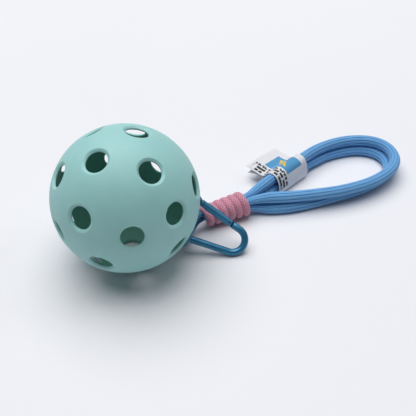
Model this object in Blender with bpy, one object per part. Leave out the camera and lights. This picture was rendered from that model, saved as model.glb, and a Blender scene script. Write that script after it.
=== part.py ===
"""Perforated pickleball carried on a snap carabiner and a corded wrist loop.

The ball stands on the rim of one of its holes. A D-shaped carabiner goes in and out of two
neighbouring holes, and a doubled cord loop, bound with a coil of thinner cord, hangs on its spine.
The floor is z = 0, and the origin is on it, midway between the ball's side and the carabiner's tip.
"""

import math

import bmesh
import bpy
from mathutils import Matrix, Vector

MM = 0.001
GAP = 0.3 * MM  # running gap between neighbouring pieces
PIN_GAP = 0.15 * MM  # radial gap round a pin

# Ball: two moulded halves, thirteen holes each
BALL_RADIUS = 37.0 * MM
BALL_WALL = 2.0 * MM
HOLE_RADIUS = 5.9 * MM
RING_LATITUDE = math.radians(16.6)  # the eight holes beside the seam
CAP_LATITUDE = math.radians(53.1)  # the four holes round the pole
RING_HOLES = 8
CAP_HOLES = 4
NEAR_TURN = math.radians(26.5)  # how far the near half was turned when it was welded on
POLE_AZIMUTH = math.radians(-41.1)
STAND_HEIGHT = math.sqrt(BALL_RADIUS**2 - HOLE_RADIUS**2)
ORIGIN_X = 12.7 * MM  # from the ball's centre to the origin
BALL_CENTRE = Vector((-ORIGIN_X, 0, STAND_HEIGHT))

# Carabiner, in its own plane: x along the spine towards the tip, y from the spine to the gate
BAR_RADIUS = 1.9 * MM
GATE_RADIUS = 2.05 * MM
GATE_SLOPE = math.radians(16.6)
SHOULDER_SLOPE = math.radians(38)  # of the stretch from the gate's hinge up to the high corner
TIP_BEND = 6.6 * MM
TIP_BEND_X = 29.1 * MM
SPINE_END_X = -5.5 * MM
LOW_CORNER = 9.5 * MM
HIGH_CORNER = 10.5 * MM
HIGH_CORNER_X = SPINE_END_X - LOW_CORNER + HIGH_CORNER  # the wide end's back is straight
PIVOT_X = 8.0 * MM
GATE_LENGTH = 18.5 * MM  # pivot to the tube's free end
NOSE_GAP = 0.9 * MM  # between the tube's free end and the body's nose
GATE_TAIL = 1.4 * MM  # pivot to the tube's hinge end
TAIL_GAP = 0.5 * MM  # lets the tube's rounded tail turn past the body's shoulder
SPINE_START = Vector((24.28, 0.32, 11.05)) * MM  # from under the ball's centre
SPINE_FOOT = Vector((51.61, -3.87, 2.45)) * MM
PLANE_NORMAL = Vector((0.0801, -0.7630, 0.6414))
BLADE = 1.3 * MM  # thickness of the tongues at both ends of the body
SLOT = BLADE + 2 * GAP
RIVET_RADIUS = 0.6 * MM
LATCH_RADIUS = 0.45 * MM
LATCH_X = GATE_LENGTH - 1.3 * MM
LATCH_REACH = 1.75 * MM  # half the latch pin's length
TONGUE_TOP = 1.5 * MM  # from the pivot to the hinge tongue's square end, and half its height
BORE_RADIUS = 1.3 * MM
BORE_SPAN = (1.8 * MM, 13.2 * MM)
PLUNGER_COLLAR = (2.9 * MM, 5.0 * MM)
SPRING_SPAN = (5.9 * MM, 12.8 * MM)  # it starts clear of the collar's furthest place
SPRING_WIRE = 0.17 * MM
SPRING_RADIUS = 0.85 * MM
SPRING_TURNS = 7
# Where the body lies on the edges of the ball's two holes, from under the ball's centre
REST_HIGH = Vector((31.29, 16.12, 28.97)) * MM
REST_LOW = Vector((24.19, -0.68, 9.88)) * MM

# Lanyard
CORD_RADIUS = 3.1 * MM
EYE_RADIUS = 1.5 * MM
PINCH = 0.62  # how far the cord is squeezed where it enters the binding
PINCH_LENGTH = 14 * MM
CORD_SPACING = 7.5 * MM
EYE_SPACING = 3.6 * MM
BINDING_LOW_END = Vector((39.0, 19.0, 6.8)) * MM
BINDING_HIGH_END = Vector((62.0, 29.3, 7.7)) * MM
BINDING_RADII = (6.2 * MM, 7.4 * MM)
BUNDLE_RADII = (3.2 * MM, 4.4 * MM)
BINDING_TURNS = 5.5
BINDING_GROOVE = 0.8 * MM
LABEL_CENTRE = Vector((87.2, 56.2, 0)) * MM
LABEL_AZIMUTH = math.radians(45)
LABEL_WIDTH = 26.0 * MM
LABEL_THICKNESS = 0.6 * MM

COLOURS = {
    "mint_plastic": ((0.42, 0.72, 0.66, 1), 0.55, 0.0),
    "teal_aluminium": ((0.03, 0.20, 0.33, 1), 0.35, 0.85),
    "steel": ((0.62, 0.63, 0.65, 1), 0.3, 1.0),
    "blue_cord": ((0.18, 0.42, 0.75, 1), 0.75, 0.0),
    "pink_cord": ((0.80, 0.35, 0.45, 1), 0.8, 0.0),
    "white_tape": ((0.85, 0.86, 0.90, 1), 0.85, 0.0),
}


def placed(point):
    """A point measured from the floor under the ball's centre, in the assembly's frame."""
    return Vector(point) - Vector((ORIGIN_X, 0, 0))


def material(name):
    found = bpy.data.materials.get(name)
    if found:
        return found
    colour, roughness, metallic = COLOURS[name]
    made = bpy.data.materials.new(name)
    made.use_nodes = True
    shader = made.node_tree.nodes["Principled BSDF"]
    shader.inputs["Base Color"].default_value = colour
    shader.inputs["Roughness"].default_value = roughness
    shader.inputs["Metallic"].default_value = metallic
    return made


def mesh_object(name, mesh, look=None, matrix=None):
    """Links a bmesh as an object, smooth on its round parts."""
    bmesh.ops.recalc_face_normals(mesh, faces=mesh.faces)
    data = bpy.data.meshes.new(name)
    mesh.to_mesh(data)
    mesh.free()
    data.shade_smooth()
    data.set_sharp_from_angle(angle=math.radians(35))
    made = bpy.data.objects.new(name, data)
    if matrix:
        made.matrix_world = matrix
    if look:
        data.materials.append(material(look))
    bpy.context.scene.collection.objects.link(made)
    return made


def hide_cutter(cutter):
    cutter.hide_render = True
    cutter.display_type = "WIRE"
    return cutter


def boolean(target, other, operation):
    change = target.modifiers.new(other.name, "BOOLEAN")
    change.operation = operation
    change.object = hide_cutter(other)
    change.solver = "EXACT"


def turned_rows(mesh, profile, steps):
    """The open surface turned about Z from (radius, z) points; a radius of 0 is a point on the axis."""
    rows = []
    for radius, z in profile:
        if radius == 0:
            rows.append([mesh.verts.new((0, 0, z))])
            continue
        angles = (2 * math.pi * (i + 0.5) / steps for i in range(steps))
        rows.append([mesh.verts.new((radius * math.cos(a), radius * math.sin(a), z)) for a in angles])
    for first, second in zip(rows, rows[1:]):
        join(mesh, first, second)
    return rows


def join(mesh, first, second):
    """Faces between two rows; a row of one point closes to it."""
    steps = max(len(first), len(second))
    for i in range(steps):
        j = (i + 1) % steps
        corners = [first[i % len(first)], first[j % len(first)]]
        corners += [second[j % len(second)], second[i % len(second)]]
        corners = list(dict.fromkeys(corners))
        if len(corners) > 2:
            mesh.faces.new(corners)


def turned(profile, steps):
    """A closed solid turned about Z."""
    mesh = bmesh.new()
    rows = turned_rows(mesh, profile, steps)
    if len(rows[0]) > 1:
        join(mesh, rows[-1], rows[0])
    return mesh


def pin(radius, reach, steps):
    """A plain pin along Z, reaching as far each way."""
    return turned([(0, -reach), (radius, -reach), (radius, reach), (0, reach)], steps)


def swept(points, frames, radius, sides):
    """A round bar along points; frames gives two cross directions at each point."""
    mesh = bmesh.new()
    rings = []
    for point, (across, up) in zip(points, frames):
        ring = []
        for i in range(sides):
            angle = 2 * math.pi * i / sides
            ring.append(mesh.verts.new(point + radius * (math.cos(angle) * across + math.sin(angle) * up)))
        rings.append(ring)
    for first, second in zip(rings, rings[1:]):
        join(mesh, first, second)
    mesh.faces.new(rings[0])
    mesh.faces.new(rings[-1])
    return mesh


def cylinder(radius, start, end, steps=20):
    """A cylinder along X from start to end."""
    mesh = turned([(0, start), (radius, start), (radius, end), (0, end)], steps)
    mesh.transform(Matrix.Rotation(math.radians(90), 4, "Y"))
    return mesh


def block(x_range, y_range, z_range):
    mesh = bmesh.new()
    bmesh.ops.create_cube(mesh, size=1)
    for vert in mesh.verts:
        for axis, (low, high) in enumerate((x_range, y_range, z_range)):
            vert.co[axis] = low if vert.co[axis] < 0 else high
    return mesh


def smooth_route(route, spacing):
    """Points about spacing apart on a Catmull-Rom curve through the route."""
    ends = [2 * route[0] - route[1], *route, 2 * route[-1] - route[-2]]
    fine = []
    for a, b, c, d in zip(ends, ends[1:], ends[2:], ends[3:]):
        for step in range(16):
            t = step / 16
            cubic = (3 * b - a - 3 * c + d) * t**3
            fine.append(0.5 * (2 * b + (c - a) * t + (2 * a - 5 * b + 4 * c - d) * t**2 + cubic))
    fine.append(route[-1])
    total = sum((q - p).length for p, q in zip(fine, fine[1:]))
    count = round(total / spacing)
    points = [fine[0]]
    travelled = 0.0
    for p, q in zip(fine, fine[1:]):
        step = (q - p).length
        while len(points) < count and travelled + step >= len(points) * total / count:
            points.append(p.lerp(q, (len(points) * total / count - travelled) / step))
        travelled += step
    points.append(fine[-1])
    return points


def cord(name, route, radius, spacing, pinch=1.0):
    """A cord along a route in millimetres; its two ends are squeezed to pinch of its thickness."""
    points = smooth_route([placed(Vector(p) * MM) for p in route], spacing)
    data = bpy.data.curves.new(name, "CURVE")
    data.dimensions = "3D"
    data.bevel_depth = radius
    data.bevel_resolution = 2
    data.use_fill_caps = True
    spline = data.splines.new("POLY")
    spline.points.add(len(points) - 1)
    for target, point in zip(spline.points, points):
        target.co = (*point, 1)
        reach = min((point - points[0]).length, (point - points[-1]).length) / PINCH_LENGTH
        target.radius = pinch + (1 - pinch) * min(reach, 1)
    data.materials.append(material("blue_cord"))
    made = bpy.data.objects.new(name, data)
    bpy.context.scene.collection.objects.link(made)
    return made


def hang_on_axis(name, place, axis, pieces):
    """Parents a body's pieces to an empty on its joint's axis, the axis being the empty's Z."""
    matrix = Matrix.Translation(place) @ axis.to_track_quat("Z", "Y").to_matrix().to_4x4()
    empty = bpy.data.objects.new(name, None)
    empty.matrix_world = matrix
    bpy.context.scene.collection.objects.link(empty)
    for piece in pieces:
        piece.parent = empty
        piece.matrix_parent_inverse = matrix.inverted()


# --- ball -----------------------------------------------------------------------------------


def ball_matrix():
    """The ball's pole leans so that a hole of the far half faces straight down."""
    lean = Matrix.Rotation(math.pi / 2 - RING_LATITUDE, 4, "Y")
    return Matrix.Translation(BALL_CENTRE) @ Matrix.Rotation(POLE_AZIMUTH, 4, "Z") @ lean


def hole_direction(longitude, latitude):
    flat = math.cos(latitude)
    return Vector((flat * math.cos(longitude), flat * math.sin(longitude), math.sin(latitude)))


def half_pattern(side, turn):
    """Hole directions of one half: the pole, a ring of four and a ring of eight half a pitch away."""
    pitch = 2 * math.pi / RING_HOLES
    directions = [Vector((0, 0, side))]
    for i in range(CAP_HOLES):
        longitude = turn + side * -pitch / 2 + 2 * math.pi * i / CAP_HOLES
        directions.append(hole_direction(longitude, side * CAP_LATITUDE))
    for i in range(RING_HOLES):
        directions.append(hole_direction(turn + pitch * i, side * RING_LATITUDE))
    return directions


def ball_half(name, side, turn):
    steps, rings = 40, 9
    mesh = bmesh.new()
    rims = []
    for radius in (BALL_RADIUS, BALL_RADIUS - BALL_WALL):
        low = math.asin(GAP / 2 / radius)
        profile = []
        for i in range(rings):
            angle = low + (math.pi / 2 - low) * i / rings
            profile.append((radius * math.cos(angle), side * radius * math.sin(angle)))
        profile.append((0, side * radius))
        rims.append(turned_rows(mesh, profile, steps)[0])
    join(mesh, *rims)
    half = mesh_object(name, mesh, "mint_plastic", ball_matrix())
    cutters = bmesh.new()
    for direction in half_pattern(side, turn):
        turn_to = direction.to_track_quat("Z", "Y").to_matrix().to_4x4()
        # from well inside the wall to well outside it
        inside, outside = 0.7 * BALL_RADIUS, 1.15 * BALL_RADIUS
        one = turned([(0, inside), (HOLE_RADIUS, inside), (HOLE_RADIUS, outside), (0, outside)], 20)
        one.transform(turn_to)
        held = bpy.data.meshes.new("hole")
        one.to_mesh(held)
        one.free()
        cutters.from_mesh(held)
    boolean(half, mesh_object(name + "_holes", cutters, matrix=ball_matrix()), "DIFFERENCE")


# --- carabiner ------------------------------------------------------------------------------


def carabiner_matrix():
    """Columns: along the spine, across to the gate, out of the plane; origin where the spine starts."""
    along = (SPINE_FOOT - SPINE_START).normalized()
    normal = (PLANE_NORMAL - PLANE_NORMAL.dot(along) * along).normalized()
    across = normal.cross(along)
    turn = Matrix((along, across, normal)).transposed().to_4x4()
    return Matrix.Translation(placed(SPINE_START)) @ turn


def gate_matrix():
    """The gate's frame: X from its pivot to its free end, Y outwards, Z along the pivot."""
    lean = Vector((math.sin(GATE_SLOPE), math.cos(GATE_SLOPE), 0))
    tip = Vector((TIP_BEND_X, TIP_BEND, 0)) + TIP_BEND * lean
    pivot = Vector((PIVOT_X, tip.y + (tip.x - PIVOT_X) * math.tan(GATE_SLOPE), 0))
    return carabiner_matrix() @ Matrix.Translation(pivot) @ Matrix.Rotation(-GATE_SLOPE, 4, "Z")


def arc(centre, radius, start, end, pieces):
    """Points on an arc in the plane, angles in degrees."""
    points = []
    for i in range(pieces + 1):
        angle = math.radians(start + (end - start) * i / pieces)
        points.append(Vector((centre[0] + radius * math.cos(angle), centre[1] + radius * math.sin(angle), 0)))
    return points


def carabiner_body():
    slope = math.degrees(GATE_SLOPE)
    place = carabiner_matrix()
    gate = place.inverted() @ gate_matrix()
    nose = gate @ Vector((GATE_LENGTH + NOSE_GAP, 0, 0))
    shoulder = gate @ Vector((-GATE_TAIL - TAIL_GAP, 0, 0))
    foot = gate @ Vector((-GATE_TAIL - TAIL_GAP - 0.3 * MM, 0, 0))
    rise = math.degrees(SHOULDER_SLOPE)
    start = arc((0, 0), HIGH_CORNER, 90 - rise, 90 - rise, 1)[0] + Vector((HIGH_CORNER_X, 0, 0))
    high_y = foot.y + (foot.x - start.x) * math.tan(SHOULDER_SLOPE) - start.y
    path = [nose]
    path += arc((TIP_BEND_X, TIP_BEND), TIP_BEND, 90 - slope, -90, 14)
    path += arc((SPINE_END_X, LOW_CORNER), LOW_CORNER, -90, -180, 8)
    path += arc((HIGH_CORNER_X, high_y), HIGH_CORNER, 180, 90 - rise, 9)
    path += [foot, shoulder]
    normal = Vector((0, 0, 1))
    frames = []
    for i, point in enumerate(path):
        before = path[max(i - 1, 0)]
        after = path[min(i + 1, len(path) - 1)]
        if i == 0:
            along = path[1] - path[0]
        elif i == len(path) - 1:
            along = path[-1] - path[-2]
        else:
            along = (after - point).normalized() + (point - before).normalized()
        along.normalize()
        frames.append((along.cross(normal), normal))
    body = mesh_object("carabiner_body", swept(path, frames, BAR_RADIUS, 16), "teal_aluminium", place)

    root = BAR_RADIUS * 0.6
    # its square end pushes the plunger back as the gate turns
    hinge_start = -GATE_TAIL - TAIL_GAP - root
    tall, thick = (-TONGUE_TOP, TONGUE_TOP), (-BLADE / 2, BLADE / 2)
    hinge_blade = block((hinge_start, TONGUE_TOP), tall, thick)
    nose_blade = block((LATCH_X - 1.1 * MM, GATE_LENGTH + NOSE_GAP + root), tall, thick)
    for name, mesh in (("hinge_blade", hinge_blade), ("nose_blade", nose_blade)):
        boolean(body, mesh_object(name, mesh, matrix=gate_matrix()), "UNION")
    half_notch = LATCH_RADIUS + 0.25 * MM
    notch = block((LATCH_X - half_notch, LATCH_X + half_notch), (-3 * MM, half_notch), (-BLADE, BLADE))
    rivet_hole = pin(RIVET_RADIUS + PIN_GAP, 3 * MM, 16)
    for name, mesh in (("rivet_hole", rivet_hole), ("latch_notch", notch)):
        boolean(body, mesh_object(name, mesh, matrix=gate_matrix()), "DIFFERENCE")
    return body


def gate_tube():
    chamfer = 0.35 * MM
    tail_chamfer = 0.8 * MM
    profile = [
        (0, -GATE_TAIL),
        (GATE_RADIUS - tail_chamfer, -GATE_TAIL),
        (GATE_RADIUS, -GATE_TAIL + tail_chamfer),
        (GATE_RADIUS, GATE_LENGTH - chamfer),
        (GATE_RADIUS - chamfer, GATE_LENGTH),
        (0, GATE_LENGTH),
    ]
    mesh = turned(profile, 20)
    mesh.transform(Matrix.Rotation(math.radians(90), 4, "Y"))
    tube = mesh_object("gate_tube", mesh, "teal_aluminium", gate_matrix())
    half_slot = SLOT / 2
    tall = 2 * GATE_RADIUS
    hinge_slot = block((-GATE_TAIL - 1 * MM, 2.3 * MM), (-tall, tall), (-half_slot, half_slot))
    nose_slot = block((LATCH_X - 1.5 * MM, GATE_LENGTH + 1 * MM), (-tall, tall), (-half_slot, half_slot))
    bore = cylinder(BORE_RADIUS, *BORE_SPAN, 16)
    rivet_bore = pin(RIVET_RADIUS + PIN_GAP, tall, 16)
    latch_bore = pin(LATCH_RADIUS + PIN_GAP, tall, 12)
    latch_bore.transform(Matrix.Translation((LATCH_X, 0, 0)))
    for name, cutter in (
        ("hinge_slot", hinge_slot),
        ("nose_slot", nose_slot),
        ("spring_bore", bore),
        ("rivet_bore", rivet_bore),
        ("latch_bore", latch_bore),
    ):
        boolean(tube, mesh_object(name, cutter, matrix=gate_matrix()), "DIFFERENCE")


def gate_rivet():
    """A headed rivet through the tube's two cheeks and the body's tongue."""
    cheek = GATE_RADIUS + 0.05 * MM
    top = cheek + 0.35 * MM
    head = 1.1 * MM
    half = [(head * 0.6, top), (head, cheek + 0.1 * MM), (head, cheek), (RIVET_RADIUS, cheek)]
    profile = [(0, top), *half, *[(r, -z) for r, z in reversed(half)], (0, -top)]
    mesh_object("gate_rivet", turned(profile, 16), "steel", gate_matrix())


def latch_pin():
    place = gate_matrix() @ Matrix.Translation((LATCH_X, 0, 0))
    mesh_object("latch_pin", pin(LATCH_RADIUS, LATCH_REACH, 12), "steel", place)


def gate_spring():
    """A compression spring in the gate's bore, between the plunger and the bore's end."""
    start, end = SPRING_SPAN
    per_turn = 10
    count = SPRING_TURNS * per_turn
    points, frames = [], []
    for i in range(count + 1):
        angle = 2 * math.pi * i / per_turn
        out = Vector((0, math.cos(angle), math.sin(angle)))
        points.append(Vector((start + (end - start) * i / count, 0, 0)) + SPRING_RADIUS * out)
        along = Vector(((end - start) / count, 0, 0))
        along += SPRING_RADIUS * 2 * math.pi / per_turn * Vector((0, -math.sin(angle), math.cos(angle)))
        frames.append((out, along.normalized().cross(out)))
    mesh_object("gate_spring", swept(points, frames, SPRING_WIRE, 6), "steel", gate_matrix())


def gate_plunger():
    """The follower that the spring presses against the body's tongue."""
    face = TONGUE_TOP + GAP
    nose, head = 0.55 * MM, BORE_RADIUS - 0.2 * MM
    collar, back = PLUNGER_COLLAR
    profile = [(0, face), (nose, face), (nose, collar), (head, collar), (head, back), (0, back)]
    mesh = turned(profile, 14)
    mesh.transform(Matrix.Rotation(math.radians(90), 4, "Y"))
    mesh_object("gate_plunger", mesh, "steel", gate_matrix())


# --- lanyard --------------------------------------------------------------------------------

# Upper and lower strands of the wrist loop, in millimetres from the floor under the ball's centre.
UPPER_STRAND = [
    (63.3, 27.6, 9.8),
    (66.1, 28.8, 9.9),
    (70.0, 30.0, 9.9),
    (76.0, 31.2, 9.8),
    (88.0, 32.4, 9.5),
    (101.0, 34.4, 9.4),
    (114.0, 37.0, 9.4),
    (124.0, 40.1, 9.4),
    (134.2, 44.6, 9.4),
    (143.3, 50.8, 9.4),
    (150.2, 58.2, 9.4),
    (153.8, 66.6, 9.4),
    (153.2, 75.0, 9.4),
    (149.3, 81.6, 9.4),
    (142.8, 85.4, 9.4),
    (134.0, 86.4, 9.4),
    (124.0, 84.6, 9.5),
    (113.9, 80.0, 9.7),
    (105.9, 74.5, 9.9),
    (98.7, 67.6, 10.1),
    (89.1, 58.1, 10.1),
    (79.6, 49.0, 10.1),
    (71.6, 40.7, 10.1),
    (67.2, 36.0, 10.0),
    (64.3, 33.1, 9.9),
    (61.9, 31.5, 9.8),
]
LOWER_STRAND = [
    (63.8, 27.8, 5.6),
    (66.1, 28.6, 5.0),
    (70.0, 29.2, 3.9),
    (76.0, 29.5, 3.2),
    (88.0, 30.9, 3.2),
    (101.0, 34.6, 3.2),
    (113.3, 39.2, 3.2),
    (122.7, 42.8, 3.2),
    (132.2, 47.2, 3.2),
    (140.8, 53.0, 3.2),
    (147.8, 59.5, 3.2),
    (151.2, 67.0, 3.2),
    (150.8, 74.3, 3.2),
    (147.4, 80.0, 3.2),
    (141.8, 83.5, 3.2),
    (134.0, 84.6, 3.2),
    (124.8, 82.9, 3.2),
    (114.8, 78.8, 3.3),
    (107.0, 73.2, 3.7),
    (99.6, 67.1, 4.0),
    (90.1, 57.2, 3.9),
    (80.7, 47.9, 3.9),
    (73.4, 40.2, 3.9),
    (68.2, 35.6, 4.4),
    (64.5, 32.7, 5.2),
    (62.2, 31.6, 5.6),
]
# The eye, in the carabiner's own axes: along the spine, across to the gate, out of the plane.
EYE = [
    (11.0, 14.9, -14.3),
    (8.9, 12.8, -13.0),
    (7.4, 9.9, -9.8),
    (6.8, 6.8, -5.0),
    (6.6, 4.5, -0.5),
    (6.3, 2.6, 2.8),
    (5.9, -0.5, 3.75),
    (5.3, -3.0, 2.3),
    (5.0, -3.8, -0.7),
    (5.3, -3.2, -4.4),
    (6.4, -0.5, -8.6),
    (8.0, 3.9, -12.6),
    (9.6, 8.9, -15.8),
    (12.3, 12.2, -16.8),
]


def binding_matrix():
    """Z runs along the binding, from the eye's end to the wrist loop's."""
    low, high = placed(BINDING_LOW_END), placed(BINDING_HIGH_END)
    turn = (high - low).to_track_quat("Z", "Y").to_matrix().to_4x4()
    return Matrix.Translation(low) @ turn


def binding_length():
    return (BINDING_HIGH_END - BINDING_LOW_END).length


def wrap_coil():
    """The outer shape of the coil that binds the strands: a tapered sleeve with a ridge for each turn."""
    length = binding_length()
    per_turn = 6
    count = int(BINDING_TURNS * per_turn)
    outside = []
    for i in range(count + 1):
        share = i / count
        ridge = BINDING_GROOVE * (1 - abs(math.sin(math.pi * BINDING_TURNS * share)))
        radius = BINDING_RADII[0] + (BINDING_RADII[1] - BINDING_RADII[0]) * share - ridge
        outside.append((radius, length * share))
    inside = [(BUNDLE_RADII[1] + GAP, length), (BUNDLE_RADII[0] + GAP, 0)]
    return mesh_object("wrap_coil", turned(outside + inside, 20), "pink_cord", binding_matrix())


def cord_bundle():
    """The cord's squeezed strands inside the coil."""
    length = binding_length()
    profile = [(0, 0), (BUNDLE_RADII[0], 0), (BUNDLE_RADII[1], length), (0, length)]
    return mesh_object("cord_bundle", turned(profile, 16), "blue_cord", binding_matrix())


def label_tape():
    """A woven tape folded round the two strands, its ends brought together as a flap."""
    section = [
        (20.0, 8.6),
        (14.5, 8.5),
        (9.5, 8.3),
        (6.4, 8.9),
        (4.7, 10.6),
        (3.2, 12.7),
        (0.4, 13.85),
        (-2.8, 13.1),
        (-4.6, 10.7),
        (-5.8, 7.4),
        (-6.2, 4.0),
        (-5.4, 1.3),
        (-2.8, 0.55),
        (0.4, 0.55),
        (2.8, 2.0),
        (3.9, 4.8),
        (5.4, 6.9),
        (8.6, 7.1),
        (13.5, 6.5),
        (18.6, 4.6),
    ]
    middle = smooth_route([Vector((m, 0, z)) * MM for m, z in section], 2.0 * MM)
    half = LABEL_THICKNESS / 2
    sides = ([], [])
    for i, point in enumerate(middle):
        along = (middle[min(i + 1, len(middle) - 1)] - middle[max(i - 1, 0)]).normalized()
        normal = Vector((-along.z, 0, along.x))
        sides[0].append(point + half * normal)
        sides[1].append(point - half * normal)
    outline = sides[0] + sides[1][::-1]
    mesh = bmesh.new()
    ends = []
    for y in (-LABEL_WIDTH / 2, LABEL_WIDTH / 2):
        ends.append([mesh.verts.new(p + Vector((0, y, 0))) for p in outline])
    count = len(outline)
    for i in range(count):
        j = (i + 1) % count
        mesh.faces.new((ends[0][i], ends[0][j], ends[1][j], ends[1][i]))
    last = len(middle) - 1
    for end in ends:
        for i in range(last):
            mesh.faces.new((end[i], end[i + 1], end[count - 2 - i], end[count - 1 - i]))
    # X runs outwards from the loop, Y along the strands
    place = Matrix.Translation(placed(LABEL_CENTRE)) @ Matrix.Rotation(LABEL_AZIMUTH + math.pi / 2, 4, "Z")
    return mesh_object("label_tape", mesh, "white_tape", place)


def lanyard():
    carabiner = carabiner_matrix()
    origin = Vector((ORIGIN_X, 0, 0))
    eye_route = [(carabiner @ (Vector(p) * MM) + origin) / MM for p in EYE]
    pieces = [
        cord("eye_cord", eye_route, EYE_RADIUS, EYE_SPACING),
        cord("wrist_cord_upper", UPPER_STRAND, CORD_RADIUS, CORD_SPACING, PINCH),
        cord("wrist_cord_lower", LOWER_STRAND, CORD_RADIUS, CORD_SPACING, PINCH),
        wrap_coil(),
        cord_bundle(),
        label_tape(),
    ]
    hang_on_axis("lanyard_axis", placed(SPINE_START), carabiner.col[0].to_3d(), pieces)


def main():
    for thing in list(bpy.data.objects):
        bpy.data.objects.remove(thing)
    ball_half("ball_half_near", 1, NEAR_TURN)
    ball_half("ball_half_far", -1, 0.0)
    middle = placed((REST_HIGH + REST_LOW) / 2)
    hang_on_axis("carabiner_axis", middle, REST_HIGH - REST_LOW, [carabiner_body()])
    gate_tube()
    gate_rivet()
    latch_pin()
    gate_spring()
    gate_plunger()
    lanyard()


main()
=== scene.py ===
"""Looks of the perforated ball, its carabiner and its cord wrist loop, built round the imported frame."""

import math

import bmesh
import bpy
from mathutils import Matrix, Vector


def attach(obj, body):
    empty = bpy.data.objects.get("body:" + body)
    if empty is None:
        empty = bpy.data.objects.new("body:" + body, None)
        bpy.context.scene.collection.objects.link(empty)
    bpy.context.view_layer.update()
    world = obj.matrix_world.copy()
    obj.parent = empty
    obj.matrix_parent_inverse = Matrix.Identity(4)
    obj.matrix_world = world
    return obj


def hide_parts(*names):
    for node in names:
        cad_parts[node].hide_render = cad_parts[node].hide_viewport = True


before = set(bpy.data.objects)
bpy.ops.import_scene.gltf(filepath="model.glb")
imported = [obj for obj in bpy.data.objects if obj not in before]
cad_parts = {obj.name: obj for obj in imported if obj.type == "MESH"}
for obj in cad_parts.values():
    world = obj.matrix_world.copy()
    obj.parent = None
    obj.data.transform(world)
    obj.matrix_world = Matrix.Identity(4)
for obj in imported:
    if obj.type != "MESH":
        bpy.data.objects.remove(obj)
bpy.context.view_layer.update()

MM = 0.001
ORIGIN_X = 12.7 * MM

# Ball
BALL_RADIUS = 37.0 * MM
BALL_WALL = 2.0 * MM
HOLE_RADIUS = 5.9 * MM
RING_LATITUDE = math.radians(16.6)
CAP_LATITUDE = math.radians(53.1)
RING_HOLES = 8
CAP_HOLES = 4
NEAR_TURN = math.radians(26.5)
POLE_AZIMUTH = math.radians(-41.1)
BALL_CENTRE = Vector((-ORIGIN_X, 0, math.sqrt(BALL_RADIUS**2 - HOLE_RADIUS**2)))
SKIN_STEP = 1.6 * MM
LIP_RADIUS = 6.95 * MM
THROAT_RADIUS = 5.5 * MM
LIP_DEPTH = 1.2 * MM

# Carabiner
BAR_RADIUS = 1.9 * MM
GATE_RADIUS = 2.05 * MM
GATE_SLOPE = math.radians(16.6)
SHOULDER_SLOPE = math.radians(38)
TIP_BEND = 6.6 * MM
TIP_BEND_X = 29.1 * MM
SPINE_END_X = -5.5 * MM
LOW_CORNER = 9.5 * MM
HIGH_CORNER = 10.5 * MM
HIGH_CORNER_X = SPINE_END_X - LOW_CORNER + HIGH_CORNER
PIVOT_X = 8.0 * MM
NOSE_GAP = 0.9 * MM
GATE_LENGTH = 18.5 * MM
GATE_TAIL = 1.4 * MM
TAIL_GAP = 0.5 * MM
BLADE = 1.3 * MM
SLOT = BLADE + 0.6 * MM
LATCH_X = GATE_LENGTH - 1.3 * MM
RIVET_BORE = 0.75 * MM
LATCH_BORE = 0.6 * MM
SPRING_BORE = 1.3 * MM
SPINE_START = Vector((24.28, 0.32, 11.05)) * MM
SPINE_FOOT = Vector((51.61, -3.87, 2.45)) * MM
PLANE_NORMAL = Vector((0.0801, -0.7630, 0.6414))

# Lanyard
CORD_RADIUS = 3.1 * MM
EYE_RADIUS = 1.5 * MM
PINCH = 0.62
PINCH_LENGTH = 14 * MM
BINDING_LOW_END = Vector((39.0, 19.0, 6.8)) * MM
BINDING_HIGH_END = Vector((62.0, 29.3, 7.7)) * MM
BINDING_RADII = (6.2 * MM, 7.4 * MM)
BINDING_TURNS = 5.75
LABEL_CENTRE = Vector((87.2, 56.2, 0)) * MM
LABEL_AZIMUTH = math.radians(45)
LABEL_WIDTH = 26.0 * MM
LABEL_THICKNESS = 0.5 * MM

# Upper and lower strands of the wrist loop, in millimetres from the floor under the ball's centre.
UPPER_STRAND = [
    (63.3, 27.6, 9.8),
    (66.1, 28.8, 9.9),
    (70.0, 30.0, 9.9),
    (76.0, 31.2, 9.8),
    (88.0, 32.4, 9.5),
    (101.0, 34.4, 9.4),
    (114.0, 37.0, 9.4),
    (124.0, 40.1, 9.4),
    (134.2, 44.6, 9.4),
    (143.3, 50.8, 9.4),
    (150.2, 58.2, 9.4),
    (153.8, 66.6, 9.4),
    (153.2, 75.0, 9.4),
    (149.3, 81.6, 9.4),
    (142.8, 85.4, 9.4),
    (134.0, 86.4, 9.4),
    (124.0, 84.6, 9.5),
    (113.9, 80.0, 9.7),
    (105.9, 74.5, 9.9),
    (98.7, 67.6, 10.1),
    (89.1, 58.1, 10.1),
    (79.6, 49.0, 10.1),
    (71.6, 40.7, 10.1),
    (67.2, 36.0, 10.0),
    (64.3, 33.1, 9.9),
    (61.9, 31.5, 9.8),
]
LOWER_STRAND = [
    (63.8, 27.8, 5.6),
    (66.1, 28.6, 5.0),
    (70.0, 29.2, 3.9),
    (76.0, 29.5, 3.2),
    (88.0, 30.9, 3.2),
    (101.0, 34.6, 3.2),
    (113.3, 39.2, 3.2),
    (122.7, 42.8, 3.2),
    (132.2, 47.2, 3.2),
    (140.8, 53.0, 3.2),
    (147.8, 59.5, 3.2),
    (151.2, 67.0, 3.2),
    (150.8, 74.3, 3.2),
    (147.4, 80.0, 3.2),
    (141.8, 83.5, 3.2),
    (134.0, 84.6, 3.2),
    (124.8, 82.9, 3.2),
    (114.8, 78.8, 3.3),
    (107.0, 73.2, 3.7),
    (99.6, 67.1, 4.0),
    (90.1, 57.2, 3.9),
    (80.7, 47.9, 3.9),
    (73.4, 40.2, 3.9),
    (68.2, 35.6, 4.4),
    (64.5, 32.7, 5.2),
    (62.2, 31.6, 5.6),
]
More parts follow.
